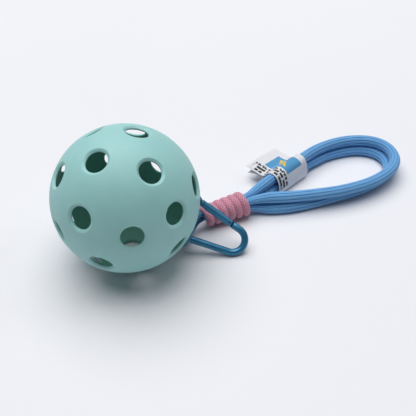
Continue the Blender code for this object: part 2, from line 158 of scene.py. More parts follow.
# The eye, in the carabiner's own axes: along the spine, across to the gate, out of the plane.
EYE = [
    (11.0, 14.9, -14.3),
    (8.9, 12.8, -13.0),
    (7.4, 9.9, -9.8),
    (6.8, 6.8, -5.0),
    (6.6, 4.5, -0.5),
    (6.3, 2.6, 2.8),
    (5.9, -0.5, 3.75),
    (5.3, -3.0, 2.3),
    (5.0, -3.8, -0.7),
    (5.3, -3.2, -4.4),
    (6.4, -0.5, -8.6),
    (8.0, 3.9, -12.6),
    (9.6, 8.9, -15.8),
    (12.3, 12.2, -16.8),
]
# The label's cross-section: outwards from the loop, and up.
LABEL_SECTION = [
    (20.0, 8.6),
    (14.5, 8.5),
    (9.5, 8.3),
    (6.4, 8.9),
    (4.7, 10.6),
    (3.2, 12.7),
    (0.4, 13.85),
    (-2.8, 13.1),
    (-4.6, 10.7),
    (-5.8, 7.4),
    (-6.2, 4.0),
    (-5.4, 1.3),
    (-2.8, 0.55),
    (0.4, 0.55),
    (2.8, 2.0),
    (3.9, 4.8),
    (5.4, 6.9),
    (8.6, 7.1),
    (13.5, 6.5),
    (18.6, 4.6),
]


def placed(point):
    """A point measured from the floor under the ball's centre, in the frame's axes."""
    return Vector(point) - Vector((ORIGIN_X, 0, 0))


# --- materials ------------------------------------------------------------------------------


class Nodes:
    """A material's node tree, with short calls for the nodes that it uses."""

    def __init__(self, name):
        self.material = bpy.data.materials.new(name)
        self.material.use_nodes = True
        self.tree = self.material.node_tree
        self.shader = self.tree.nodes["Principled BSDF"]

    def add(self, kind, **settings):
        node = self.tree.nodes.new(kind)
        for key, value in settings.items():
            setattr(node, key, value)
        return node

    def feed(self, socket, value):
        if isinstance(value, bpy.types.NodeSocket):
            self.tree.links.new(value, socket)
        elif value is not None:
            socket.default_value = value

    def math(self, operation, first, second=None):
        node = self.add("ShaderNodeMath", operation=operation)
        for socket, value in zip(node.inputs, (first, second)):
            self.feed(socket, value)
        return node.outputs[0]

    def noise(self, vector, scale, detail=4.0, roughness=0.55):
        node = self.add("ShaderNodeTexNoise")
        self.feed(node.inputs["Vector"], vector)
        node.inputs["Scale"].default_value = scale
        node.inputs["Detail"].default_value = detail
        node.inputs["Roughness"].default_value = roughness
        return node.outputs["Fac"]

    def ramp(self, value, stops):
        node = self.add("ShaderNodeValToRGB")
        elements = node.color_ramp.elements
        while len(elements) < len(stops):
            elements.new(0.5)
        for element, (place, colour) in zip(elements, stops):
            element.position = place
            element.color = (*colour, 1)
        self.feed(node.inputs[0], value)
        return node.outputs[0]

    def mix(self, factor, first, second):
        node = self.add("ShaderNodeMix", data_type="RGBA", blend_type="MIX")
        self.feed(node.inputs[0], factor)
        for socket, value in zip((node.inputs[6], node.inputs[7]), (first, second)):
            self.feed(socket, (*value, 1) if isinstance(value, tuple) else value)
        return node.outputs[2]

    def span(self, value, low, high, to_low=0.0, to_high=1.0):
        node = self.add("ShaderNodeMapRange")
        for socket, given in zip(node.inputs, (value, low, high, to_low, to_high)):
            self.feed(socket, given)
        return node.outputs[0]

    def bump(self, height, strength, distance, under=None):
        node = self.add("ShaderNodeBump")
        node.inputs["Strength"].default_value = strength
        node.inputs["Distance"].default_value = distance
        self.feed(node.inputs["Height"], height)
        self.feed(node.inputs["Normal"], under)
        return node.outputs[0]

    def object_coordinates(self):
        return self.add("ShaderNodeTexCoord").outputs["Object"]

    def uv(self):
        split = self.add("ShaderNodeSeparateXYZ")
        self.tree.links.new(self.add("ShaderNodeTexCoord").outputs["UV"], split.inputs[0])
        return split.outputs[0], split.outputs[1]

    def finish(self, colour, roughness, normal=None, **constants):
        self.feed(self.shader.inputs["Base Color"], colour)
        self.feed(self.shader.inputs["Roughness"], roughness)
        self.feed(self.shader.inputs["Normal"], normal)
        for key, value in constants.items():
            self.shader.inputs[key.replace("_", " ")].default_value = value
        return self.material


def ball_plastic():
    """Matte moulded polyethylene with a fine eggshell grain, faint handling marks, and painted shade on its
    inner face.
    """
    n = Nodes("moulded_plastic")
    place = n.object_coordinates()
    broad = n.noise(place, 45, 3)
    grain = n.noise(place, 2600, 3)
    dents = n.noise(place, 420, 4)
    specks = n.noise(place, 900, 2, 0.4)
    colour = n.ramp(broad, [(0.35, (0.310, 0.600, 0.590)), (0.65, (0.340, 0.640, 0.630))])
    marks = n.span(specks, 0.70, 0.76)
    colour = n.mix(n.math("MULTIPLY", marks, 0.22), colour, (0.16, 0.32, 0.30))
    # The inner face and the holes' throats are painted darker and deeper green than the outside: painted
    # shade inside the hollow ball.
    from_centre = n.add("ShaderNodeVectorMath", operation="DISTANCE")
    n.feed(from_centre.inputs[0], place)
    from_centre.inputs[1].default_value = BALL_CENTRE
    inner_skin, outer_skin = BALL_RADIUS - 1.9 * MM, BALL_RADIUS - 0.9 * MM
    inside = n.span(from_centre.outputs["Value"], inner_skin, outer_skin, 1.0, 0.0)
    colour = n.mix(inside, colour, (0.150, 0.430, 0.350))
    roughness = n.span(dents, 0.3, 0.7, 0.46, 0.60)
    normal = n.bump(grain, 0.10, 0.00006, n.bump(dents, 0.10, 0.00025))
    return n.finish(
        colour,
        roughness,
        normal,
        Subsurface_Weight=0.12,
        Subsurface_Scale=0.002,
        Specular_IOR_Level=0.42,
    )


def anodised(name, tone):
    """Satin anodised aluminium: a dyed coat over metal, with draw lines and rubbed spots; tone scales its
    colour, and a very low tone serves as painted shade.
    """
    n = Nodes(name)
    place = n.object_coordinates()
    broad = n.noise(place, 120, 3)
    fine = n.noise(place, 2200, 4)
    rub = n.noise(place, 260, 5, 0.65)
    shades = ((0.030, 0.185, 0.335), (0.046, 0.240, 0.420))
    low, high = (tuple(channel * tone for channel in shade) for shade in shades)
    colour = n.ramp(broad, [(0.35, low), (0.65, high)])
    worn = n.span(rub, 0.63, 0.72)
    colour = n.mix(n.math("MULTIPLY", worn, 0.30), colour, (0.13 * tone, 0.34 * tone, 0.50 * tone))
    roughness = n.span(fine, 0.3, 0.7, 0.30, 0.44)
    normal = n.bump(fine, 0.12, 0.00004, n.bump(broad, 0.06, 0.0003))
    return n.finish(colour, roughness, normal, Metallic=0.55, Coat_Weight=0.25, Coat_Roughness=0.22)


def steel():
    n = Nodes("bright_steel")
    place = n.object_coordinates()
    fine = n.noise(place, 3500, 3)
    colour = n.ramp(fine, [(0.3, (0.46, 0.47, 0.49)), (0.7, (0.66, 0.67, 0.69))])
    return n.finish(colour, n.span(fine, 0.3, 0.7, 0.22, 0.38), n.bump(fine, 0.1, 0.00003), Metallic=1.0)


def braided(name, shades, pitch, around, depth, fuzz, sheen_tint):
    """Braided yarn on a tube: two families of strands crossing, from the tube's own length and angle, with
    painted shade in the weave's hollows and the cords' grooves and painted light on the raised yarn.
    """
    n = Nodes(name)
    along, turn = n.uv()
    u = n.math("MULTIPLY", along, 2 * math.pi / pitch)
    v = n.math("MULTIPLY", turn, 2 * math.pi * around)
    place = n.object_coordinates()
    wander = n.math("MULTIPLY", n.noise(place, 380, 2), 0.9)
    one = n.math("SINE", n.math("ADD", n.math("ADD", u, v), wander))
    two = n.math("SINE", n.math("ADD", n.math("SUBTRACT", u, v), wander))
    weave = n.math("MAXIMUM", one, two)
    relief = n.span(weave, -0.6, 1.0)
    fibres = n.noise(place, 5200, 3, 0.7)
    broad = n.noise(place, 150, 3)
    groove = n.add("ShaderNodeAttribute", attribute_name="groove").outputs["Fac"]
    dark, middle, light = shades
    # The weave's relief picks the colour: painted shade in the hollows between yarns, painted light on the
    # raised yarn.
    colour = n.ramp(relief, [(0.0, dark), (0.45, middle), (1.0, light)])
    colour = n.mix(n.span(broad, 0.3, 0.7, 0.0, 0.22), colour, dark)
    # Painted shade in the rib grooves: darker where the groove value is high.
    colour = n.mix(n.math("MULTIPLY", groove, 0.85), colour, tuple(c * 0.42 for c in dark))
    height = n.math("ADD", relief, n.math("MULTIPLY", fibres, fuzz))
    normal = n.bump(height, 0.55, depth)
    return n.finish(
        colour,
        n.span(fibres, 0.3, 0.7, 0.62, 0.82),
        normal,
        Sheen_Weight=0.35,
        Sheen_Roughness=0.5,
        Sheen_Tint=(*sheen_tint, 1),
        Specular_IOR_Level=0.3,
    )


def label_cloth():
    """White woven tape: warp and weft, a printed blue panel with two plain bars, and dark dashes."""
    n = Nodes("woven_label")
    along, across = n.uv()
    place = n.object_coordinates()
    thread = 0.34 * MM
    warp = n.math("SINE", n.math("MULTIPLY", along, 2 * math.pi / thread))
    weft = n.math("SINE", n.math("MULTIPLY", across, 2 * math.pi / thread))
    cloth = n.math("MULTIPLY", warp, weft)
    fibres = n.noise(place, 4200, 3, 0.7)

    def band(value, low, high, soft=0.12 * MM):
        rise = n.span(value, low - soft, low + soft)
        fall = n.span(value, high - soft, high + soft, 1.0, 0.0)
        return n.math("MULTIPLY", rise, fall)

    def panel(low_u, high_u, low_v, high_v):
        return n.math("MULTIPLY", band(along, low_u, high_u), band(across, low_v, high_v))

    white = n.ramp(fibres, [(0.3, (0.66, 0.67, 0.71)), (0.7, (0.80, 0.81, 0.85))])
    colour = n.mix(panel(7 * MM, 27.5 * MM, 4.5 * MM, 17.5 * MM), white, (0.075, 0.30, 0.56))
    slant = n.math("SUBTRACT", along, n.math("MULTIPLY", across, 0.7))
    mark = n.math("MULTIPLY", band(slant, 5.6 * MM, 8.0 * MM), band(across, 6.5 * MM, 15.5 * MM))
    second = n.math("MULTIPLY", band(slant, 10.2 * MM, 12.2 * MM), band(across, 6.5 * MM, 15.5 * MM))
    colour = n.mix(n.math("MAXIMUM", mark, second), colour, (0.72, 0.52, 0.04))
    dashes = n.add("ShaderNodeTexNoise", noise_dimensions="2D")
    rows = n.add("ShaderNodeCombineXYZ")
    n.feed(rows.inputs[0], n.math("MULTIPLY", along, 480.0))
    n.feed(rows.inputs[1], n.math("MULTIPLY", n.math("FLOOR", n.math("MULTIPLY", across, 520.0)), 3.7))
    n.feed(dashes.inputs["Vector"], rows.outputs[0])
    dashes.inputs["Scale"].default_value = 1.0
    dashes.inputs["Detail"].default_value = 1.0
    broken = n.span(dashes.outputs["Fac"], 0.42, 0.47)
    ink = None
    for row in (18.6, 21.0, 23.4):
        line = n.math("MULTIPLY", band(across, row * MM, (row + 1.7) * MM), broken)
        ink = line if ink is None else n.math("MAXIMUM", ink, line)
    ink = n.math("MULTIPLY", ink, band(along, 2 * MM, 34 * MM))
    colour = n.mix(ink, colour, (0.012, 0.012, 0.016))
    height = n.math("ADD", cloth, n.math("MULTIPLY", fibres, 0.8))
    return n.finish(
        colour,
        n.span(fibres, 0.3, 0.7, 0.55, 0.75),
        n.bump(height, 0.35, 0.00006),
        Sheen_Weight=0.2,
        Specular_IOR_Level=0.35,
    )


def thread_material():
    n = Nodes("sewing_thread")
    place = n.object_coordinates()
    fine = n.noise(place, 6000, 3)
    colour = n.ramp(fine, [(0.3, (0.62, 0.64, 0.70)), (0.7, (0.80, 0.82, 0.87))])
    return n.finish(colour, 0.7, n.bump(fine, 0.4, 0.00003), Sheen_Weight=0.3)


# --- mesh tools -----------------------------------------------------------------------------


def make_object(name, mesh, look, matrix=None, angle=35):
    """Links a bmesh as a smooth object with one material."""
    bmesh.ops.recalc_face_normals(mesh, faces=mesh.faces)
    data = bpy.data.meshes.new(name)
    if matrix:
        mesh.transform(matrix)
    mesh.to_mesh(data)
    mesh.free()
    data.shade_smooth()
    data.set_sharp_from_angle(angle=math.radians(angle))
    data.materials.append(look)
    made = bpy.data.objects.new(name, data)
    bpy.context.scene.collection.objects.link(made)
    return made


def add_mesh(mesh, other):
    """Adds the other bmesh to the first, and frees it."""
    held = bpy.data.meshes.new("held")
    other.to_mesh(held)
    other.free()
    mesh.from_mesh(held)
    bpy.data.meshes.remove(held)


def smooth_route(route, spacing):
    """Points about spacing apart on a Catmull-Rom curve through the route."""
    ends = [2 * route[0] - route[1], *route, 2 * route[-1] - route[-2]]
    fine = []
    for a, b, c, d in zip(ends, ends[1:], ends[2:], ends[3:]):
        for step in range(24):
            t = step / 24
            cubic = (3 * b - a - 3 * c + d) * t**3
            fine.append(0.5 * (2 * b + (c - a) * t + (2 * a - 5 * b + 4 * c - d) * t**2 + cubic))
    fine.append(route[-1])
    return evenly(fine, spacing)


def evenly(fine, spacing):
    total = sum((q - p).length for p, q in zip(fine, fine[1:]))
    count = max(round(total / spacing), 1)
    points = [fine[0]]
    travelled = 0.0
    for p, q in zip(fine, fine[1:]):
        step = (q - p).length
        while step > 0 and len(points) < count and travelled + step >= len(points) * total / count:
            points.append(p.lerp(q, (len(points) * total / count - travelled) / step))
        travelled += step
    points.append(fine[-1])
    return points


def carried_frames(points, first):
    """At each point, its direction and two cross directions that turn as little as they can."""
    frames = []
    side = first
    for i in range(len(points)):
        along = (points[min(i + 1, len(points) - 1)] - points[max(i - 1, 0)]).normalized()
        side = (side - side.dot(along) * along).normalized()
        frames.append((along, side, along.cross(side)))
    return frames


def tube(points, frames, section, count, grooves=None):
    """A capped tube round the points, with UVs in metres and turns.

    section(i, angle) gives the (across, up) offsets, and grooves(i, angle) how deep in a groove a point is.
    """
    mesh = bmesh.new()
    uv = mesh.loops.layers.uv.new("UVMap")
    # Each point's groove depth, which the cord material reads to paint shade in the grooves.
    tone = mesh.verts.layers.float.new("groove")
    rings = []
    for i, (point, (along, across, up)) in enumerate(zip(points, frames)):
        ring = []
        for k in range(count):
            angle = 2 * math.pi * k / count
            x, y = section(i, angle)
            vert = mesh.verts.new(point + x * across + y * up)
            vert[tone] = grooves(i, angle) if grooves else 0.0
            ring.append(vert)
        rings.append(ring)
    lengths = [0.0]
    for p, q in zip(points, points[1:]):
        lengths.append(lengths[-1] + (q - p).length)
    for i, (first, second) in enumerate(zip(rings, rings[1:])):
        for k in range(count):
            j = (k + 1) % count
            face = mesh.faces.new((first[k], first[j], second[j], second[k]))
            marks = ((i, k), (i, k + 1), (i + 1, k + 1), (i + 1, k))
            for loop, (row, column) in zip(face.loops, marks):
                loop[uv].uv = (lengths[row], column / count)
    for ring, order in ((rings[0], -1), (rings[-1], 1)):
        mesh.faces.new(ring[::order])
    return mesh


def round_section(radius):
    return lambda i, angle: (radius * math.cos(angle), radius * math.sin(angle))


def turned(profile, steps):
    """A closed solid turned about Z from (radius, z) points; a radius of 0 is on the axis."""
    mesh = bmesh.new()
    rings = []
    for radius, z in profile:
        if radius == 0:
            rings.append([mesh.verts.new((0, 0, z))])
            continue
        angles = (2 * math.pi * (i + 0.5) / steps for i in range(steps))
        rings.append([mesh.verts.new((radius * math.cos(a), radius * math.sin(a), z)) for a in angles])
    for first, second in zip(rings, rings[1:]):
        for i in range(steps):
            j = (i + 1) % steps
            corners = [first[i % len(first)], first[j % len(first)]]
            corners += [second[j % len(second)], second[i % len(second)]]
            corners = list(dict.fromkeys(corners))
            if len(corners) > 2:
                mesh.faces.new(corners)
    return mesh


def rod(radius, low, high, steps):
    return turned([(0, low), (radius, low), (radius, high), (0, high)], steps)


def block(x_range, y_range, z_range, bevel=0.12 * MM):
    mesh = bmesh.new()
    bmesh.ops.create_cube(mesh, size=1)
    for vert in mesh.verts:
        for axis, (low, high) in enumerate((x_range, y_range, z_range)):
            vert.co[axis] = low if vert.co[axis] < 0 else high
    if bevel:
        bmesh.ops.bevel(mesh, geom=list(mesh.edges), offset=bevel, segments=2, affect="EDGES")
    return mesh


def cut(target, cutters):
    """Cuts the cutters' shapes from the target, and applies the cuts."""
    for cutter in cutters:
        change = target.modifiers.new(cutter.name, "BOOLEAN")
        change.operation = "DIFFERENCE"
        change.object = cutter
        change.solver = "EXACT"
    apply_modifiers(target)
    for cutter in cutters:
        bpy.data.objects.remove(cutter)


def apply_modifiers(target):
    graph = bpy.context.evaluated_depsgraph_get()
    graph.update()
    data = bpy.data.meshes.new_from_object(target.evaluated_get(graph))
    target.modifiers.clear()
    target.data = data
    data.shade_smooth()
    data.set_sharp_from_angle(angle=math.radians(35))


# --- stage ----------------------------------------------------------------------------------


def make_stage():
    scene = bpy.context.scene
    mesh = bmesh.new()
    bmesh.ops.create_grid(mesh, x_segments=1, y_segments=1, size=6)
    look = Nodes("pale_floor")
    place = look.object_coordinates()
    shade = look.noise(place, 2.0, 2)
    colour = look.ramp(shade, [(0.3, (0.80, 0.81, 0.845)), (0.7, (0.82, 0.83, 0.865))])
    floor = make_object("floor", mesh, look.finish(colour, 0.75, Specular_IOR_Level=0.2))
    floor.location.z = -0.02 * MM

    camera_data = bpy.data.cameras.new("camera")
    camera_data.lens = 54.52
    camera_data.sensor_width = 36
    camera_data.clip_start = 0.01
    camera = bpy.data.objects.new("camera", camera_data)
    camera.location = placed(Vector((40.88, -236.12, 242.59)) * MM)
    camera.rotation_euler = (math.radians(90 - 42), 0, 0)
    scene.collection.objects.link(camera)
    scene.camera = camera

    scene.view_settings.view_transform = "Standard"
    world = bpy.data.worlds.new("studio")
    scene.world = world
    world.use_nodes = True
    background = world.node_tree.nodes["Background"]
    background.inputs[0].default_value = (0.92, 0.94, 1.0, 1)
    background.inputs[1].default_value = 0.11

    middle = Vector((0.02, 0.02, 0.03))
    for name, place, size, power, tint in (
        ("key", Vector((-0.35, 0.75, 2.85)), 3.6, 114.0, (1.0, 0.99, 0.985)),
        ("side", Vector((1.6, 0.5, 1.6)), 0.9, 4.0, (0.95, 0.97, 1.0)),
    ):
        light = bpy.data.lights.new(name, "AREA")
        light.shape = "DISK"
        light.size = size
        light.energy = power
        light.color = tint
        lamp = bpy.data.objects.new(name, light)
        lamp.location = place
        lamp.rotation_euler = (middle - place).to_track_quat("-Z", "Y").to_euler()
        scene.collection.objects.link(lamp)


# --- ball -----------------------------------------------------------------------------------


def ball_matrix():
    lean = Matrix.Rotation(math.pi / 2 - RING_LATITUDE, 4, "Y")
    return Matrix.Translation(BALL_CENTRE) @ Matrix.Rotation(POLE_AZIMUTH, 4, "Z") @ lean


def hole_direction(longitude, latitude):
    flat = math.cos(latitude)
    return Vector((flat * math.cos(longitude), flat * math.sin(longitude), math.sin(latitude)))


def half_pattern(side, turn):
    pitch = 2 * math.pi / RING_HOLES
    directions = [Vector((0, 0, side))]
    for i in range(CAP_HOLES):
        longitude = turn + side * -pitch / 2 + 2 * math.pi * i / CAP_HOLES
        directions.append(hole_direction(longitude, side * CAP_LATITUDE))
    for i in range(RING_HOLES):
        directions.append(hole_direction(turn + pitch * i, side * RING_LATITUDE))
    return directions


def cross_axes(direction):
    across = direction.orthogonal().normalized()
    return across, direction.cross(across)


def skin_directions(side, holes, mouth):
    """Unit directions of the skin's points: rings at the mouths and at the seam, an even spread between."""
    rings = []
    spread = []
    for hole in holes:
        across, up = cross_axes(hole)
        for k, (extra, count) in enumerate(((0.0, 56), (0.9 * MM, 48), (2.0 * MM, 44))):
            angle = mouth + extra / BALL_RADIUS
            ring = []
            for i in range(count):
                turn = 2 * math.pi * (i + 0.5 * k) / count
                out = math.cos(turn) * across + math.sin(turn) * up
                ring.append(math.cos(angle) * hole + math.sin(angle) * out)
            if k == 0:
                rings.append(ring)
            else:
                spread += ring
    seam = []
    seam_points = 160
    for k, height in enumerate((0.02 * MM, 1.3 * MM, 2.6 * MM)):
        latitude = side * height / BALL_RADIUS
        longitudes = [2 * math.pi * (i + 0.5 * k) / seam_points for i in range(seam_points)]
        ring = [hole_direction(longitude, latitude) for longitude in longitudes]
        if k == 0:
            seam = ring
        else:
            spread += ring
    total = int(4 * math.pi * BALL_RADIUS**2 / (0.87 * SKIN_STEP**2))
    golden = math.pi * (3 - math.sqrt(5))
    clear = math.cos(mouth + 3.1 * MM / BALL_RADIUS)
    for i in range(total):
        z = 1 - (2 * i + 1) / total
        if z * side < 3.6 * MM / BALL_RADIUS:
            continue
        flat = math.sqrt(1 - z * z)
        point = Vector((flat * math.cos(golden * i), flat * math.sin(golden * i), z))
        if all(point.dot(hole) < clear for hole in holes):
            spread.append(point)
    # a point is left out where it would fall on the seam or past it
    seam_limit = 0.9 * MM / BALL_RADIUS
    kept = [p for p in spread if p.z * side > seam_limit]
    return rings, seam, kept


def spherical_triangles(directions):
    """Triangles between directions on a sphere, as those of their convex hull."""
    hull = bmesh.new()
    verts = [hull.verts.new(d) for d in directions]
    hull.verts.index_update()
    bmesh.ops.convex_hull(hull, input=verts)
    hull.verts.index_update()
    lookup = {v: i for i, v in enumerate(verts) if v.is_valid}
    found = []
    for face in hull.faces:
        if all(v in lookup for v in face.verts):
            found.append([lookup[v] for v in face.verts])
    hull.free()
    return found


def lip_profile():
    """A hole's edge from outside in: (distance from the hole's axis, from the ball's centre)."""
    width = LIP_RADIUS - THROAT_RADIUS
    chamfer = [(0.05, 0.01), (0.12, 0.05), (0.22, 0.13), (0.5, 0.40)]
    chamfer += [(0.80, 0.72), (0.92, 0.86), (1.0, 1.0)]
    points = []
    for across, down in chamfer:
        points.append((LIP_RADIUS - width * across, BALL_RADIUS - LIP_DEPTH * down))
    inner_reach = (BALL_RADIUS - BALL_WALL) * LIP_RADIUS / BALL_RADIUS
    rounding = 0.5 * MM
    throat_end = BALL_RADIUS - BALL_WALL + rounding
    for i in range(6):
        angle = math.pi / 2 * i / 6
        reach = THROAT_RADIUS + (inner_reach - THROAT_RADIUS) * (1 - math.cos(angle))
        points.append((reach, throat_end - rounding * math.sin(angle)))
    return points


def ball_half(name, node, side, turn, look):
    """A half of the ball: an outer and an inner skin, joined by rounded hole edges and the seam's rim."""
    holes = half_pattern(side, turn)
    mouth = math.asin(LIP_RADIUS / BALL_RADIUS)
    rings, seam, spread = skin_directions(side, holes, mouth)
    directions = [d for ring in rings for d in ring] + seam + spread
    owner = {}
    for h, ring in enumerate(rings):
        for i in range(len(ring)):
            owner[h * len(ring) + i] = h
    start = len(rings) * len(rings[0])
    for i in range(len(seam)):
        owner[start + i] = "seam"
    mesh = bmesh.new()
    outer = [mesh.verts.new(BALL_RADIUS * d) for d in directions]
    inner = [mesh.verts.new((BALL_RADIUS - BALL_WALL) * d) for d in directions]
    for corners in spherical_triangles(directions):
        owners = {owner.get(c) for c in corners}
        if len(owners) == 1 and None not in owners:
            continue
        mesh.faces.new([outer[c] for c in corners])
        mesh.faces.new([inner[c] for c in corners[::-1]])
    for h, (hole, ring) in enumerate(zip(holes, rings)):
        base = h * len(ring)
        lip = [outer[base : base + len(ring)]]
        for reach, radius in lip_profile():
            row = []
            for d in ring:
                out = (d - d.dot(hole) * hole).normalized()
                row.append(mesh.verts.new(math.sqrt(radius**2 - reach**2) * hole + reach * out))
            lip.append(row)
        lip.append(inner[base : base + len(ring)])
        join_rows(mesh, lip)
    join_rows(mesh, [outer[start : start + len(seam)], inner[start : start + len(seam)]])
    half = make_object(name, mesh, look, ball_matrix(), angle=50)
    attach(half, "ball")
    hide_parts(node)


def join_rows(mesh, rows):
    for first, second in zip(rows, rows[1:]):
        count = len(first)
        for i in range(count):
            j = (i + 1) % count
            mesh.faces.new((first[i], first[j], second[j], second[i]))


# --- carabiner ------------------------------------------------------------------------------


def carabiner_matrix():
    along = (SPINE_FOOT - SPINE_START).normalized()
    normal = (PLANE_NORMAL - PLANE_NORMAL.dot(along) * along).normalized()
    across = normal.cross(along)
    turn = Matrix((along, across, normal)).transposed().to_4x4()
    return Matrix.Translation(placed(SPINE_START)) @ turn


def gate_matrix():
    lean = Vector((math.sin(GATE_SLOPE), math.cos(GATE_SLOPE), 0))
    tip = Vector((TIP_BEND_X, TIP_BEND, 0)) + TIP_BEND * lean
    pivot = Vector((PIVOT_X, tip.y + (tip.x - PIVOT_X) * math.tan(GATE_SLOPE), 0))
    return carabiner_matrix() @ Matrix.Translation(pivot) @ Matrix.Rotation(-GATE_SLOPE, 4, "Z")


def arc(centre, radius, start, end, pieces):
    points = []
    for i in range(pieces + 1):
        angle = math.radians(start + (end - start) * i / pieces)
        x, y = centre[0] + radius * math.cos(angle), centre[1] + radius * math.sin(angle)
        points.append(Vector((x, y, 0)))
    return points


def carabiner_body(look, dark):
    slope = math.degrees(GATE_SLOPE)
    rise = math.degrees(SHOULDER_SLOPE)
    place = carabiner_matrix()
    gate = place.inverted() @ gate_matrix()
    nose = gate @ Vector((GATE_LENGTH + NOSE_GAP, 0, 0))
    shoulder = gate @ Vector((-GATE_TAIL - TAIL_GAP, 0, 0))
    foot = gate @ Vector((-GATE_TAIL - TAIL_GAP - 0.3 * MM, 0, 0))
    start = arc((0, 0), HIGH_CORNER, 90 - rise, 90 - rise, 1)[0] + Vector((HIGH_CORNER_X, 0, 0))
    high_y = foot.y + (foot.x - start.x) * math.tan(SHOULDER_SLOPE) - start.y
    path = [nose]
    path += arc((TIP_BEND_X, TIP_BEND), TIP_BEND, 90 - slope, -90, 40)
    path += arc((SPINE_END_X, LOW_CORNER), LOW_CORNER, -90, -180, 28)
    path += arc((HIGH_CORNER_X, high_y), HIGH_CORNER, 180, 90 - rise, 30)
    path += [foot, shoulder]
    # rounded edges at both ends: extra points close to each end, with a smaller radius
    edge = 0.3 * MM
    first_way = (path[1] - path[0]).normalized()
    last_way = (path[-1] - path[-2]).normalized()
    path[1:1] = [path[0] + first_way * edge * t for t in (0.3, 1.0)]
    path[-1:-1] = [path[-1] - last_way * edge * t for t in (0.95, 0.3)]
    radii = [BAR_RADIUS] * len(path)
    for index, inset in ((0, 1.0), (1, 0.4), (-1, 1.0), (-2, 0.4)):
        radii[index] = BAR_RADIUS - edge * inset
    frames = []
    normal = Vector((0, 0, 1))
    for i in range(len(path)):
        before, after = path[max(i - 1, 0)], path[min(i + 1, len(path) - 1)]
        along = (after - before).normalized()
        frames.append((along, along.cross(normal), normal))
    mesh = tube(path, frames, lambda i, a: (radii[i] * math.cos(a), radii[i] * math.sin(a)), 40)
    body = make_object("carabiner_bar", mesh, look, place, angle=40)

    tongue_top = 1.5 * MM
    root = BAR_RADIUS * 0.6
    half = BLADE / 2
    height, thickness = (-tongue_top, tongue_top), (-half, half)
    hinge = block((-GATE_TAIL - TAIL_GAP - root, tongue_top), height, thickness)
    hook = block((LATCH_X - 1.1 * MM, GATE_LENGTH + NOSE_GAP + root), height, thickness)
    hinge_tongue = make_object("hinge_tongue", hinge, look, gate_matrix())
    nose_hook = make_object("nose_hook", hook, look, gate_matrix())
    notch = 0.7 * MM
    opening = block((LATCH_X - notch, LATCH_X + notch), (-3 * MM, notch), (-BLADE, BLADE), 0)
    cut(nose_hook, [make_object("notch", opening, look, gate_matrix())])
    hole = rod(RIVET_BORE, -3 * MM, 3 * MM, 32)
    cut(hinge_tongue, [make_object("rivet_hole", hole, look, gate_matrix())])
    # The tongues get a near-black blue: painted shade, so the gaps at the gate's ends read deep and dark.
    for tongue in (hinge_tongue, nose_hook):
        tongue.data.materials[0] = dark
    for piece in (body, hinge_tongue, nose_hook):
        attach(piece, "carabiner")
    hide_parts("carabiner_body")


def gate_tube(look):
    chamfer = 0.35 * MM
    tail = 0.8 * MM
    profile = [(0, -GATE_TAIL)]
    for centre_z, size, angles in (
        (-GATE_TAIL + tail, tail, range(-90, 1, 15)),
        (GATE_LENGTH - chamfer, chamfer, range(0, 91, 15)),
    ):
        for angle in angles:
            turn = math.radians(angle)
            radius = GATE_RADIUS - size + size * math.cos(turn)
            profile.append((radius, centre_z + size * math.sin(turn)))
    profile.append((0, GATE_LENGTH))
    mesh = turned(profile, 48)
    mesh.transform(Matrix.Rotation(math.radians(90), 4, "Y"))
    tube_piece = make_object("gate_sleeve", mesh, look, gate_matrix())
    half = SLOT / 2
    tall = 2 * GATE_RADIUS
    bore = rod(SPRING_BORE, 1.8 * MM, 13.2 * MM, 36)
    bore.transform(Matrix.Rotation(math.radians(90), 4, "Y"))
    rivet = rod(RIVET_BORE, -tall, tall, 28)
    latch = rod(LATCH_BORE, -tall, tall, 24)
    latch.transform(Matrix.Translation((LATCH_X, 0, 0)))
    cutters = []
    for name, shape in (
        ("hinge_slot", block((-GATE_TAIL - 1 * MM, 2.3 * MM), (-tall, tall), (-half, half), 0)),
        ("nose_slot", block((LATCH_X - 1.5 * MM, GATE_LENGTH + 1 * MM), (-tall, tall), (-half, half), 0)),
        ("spring_bore", bore),
        ("rivet_bore", rivet),
        ("latch_bore", latch),
    ):
        cutters.append(make_object(name, shape, look, gate_matrix()))
    cut(tube_piece, cutters)
    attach(tube_piece, "gate")
    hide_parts("gate_tube")


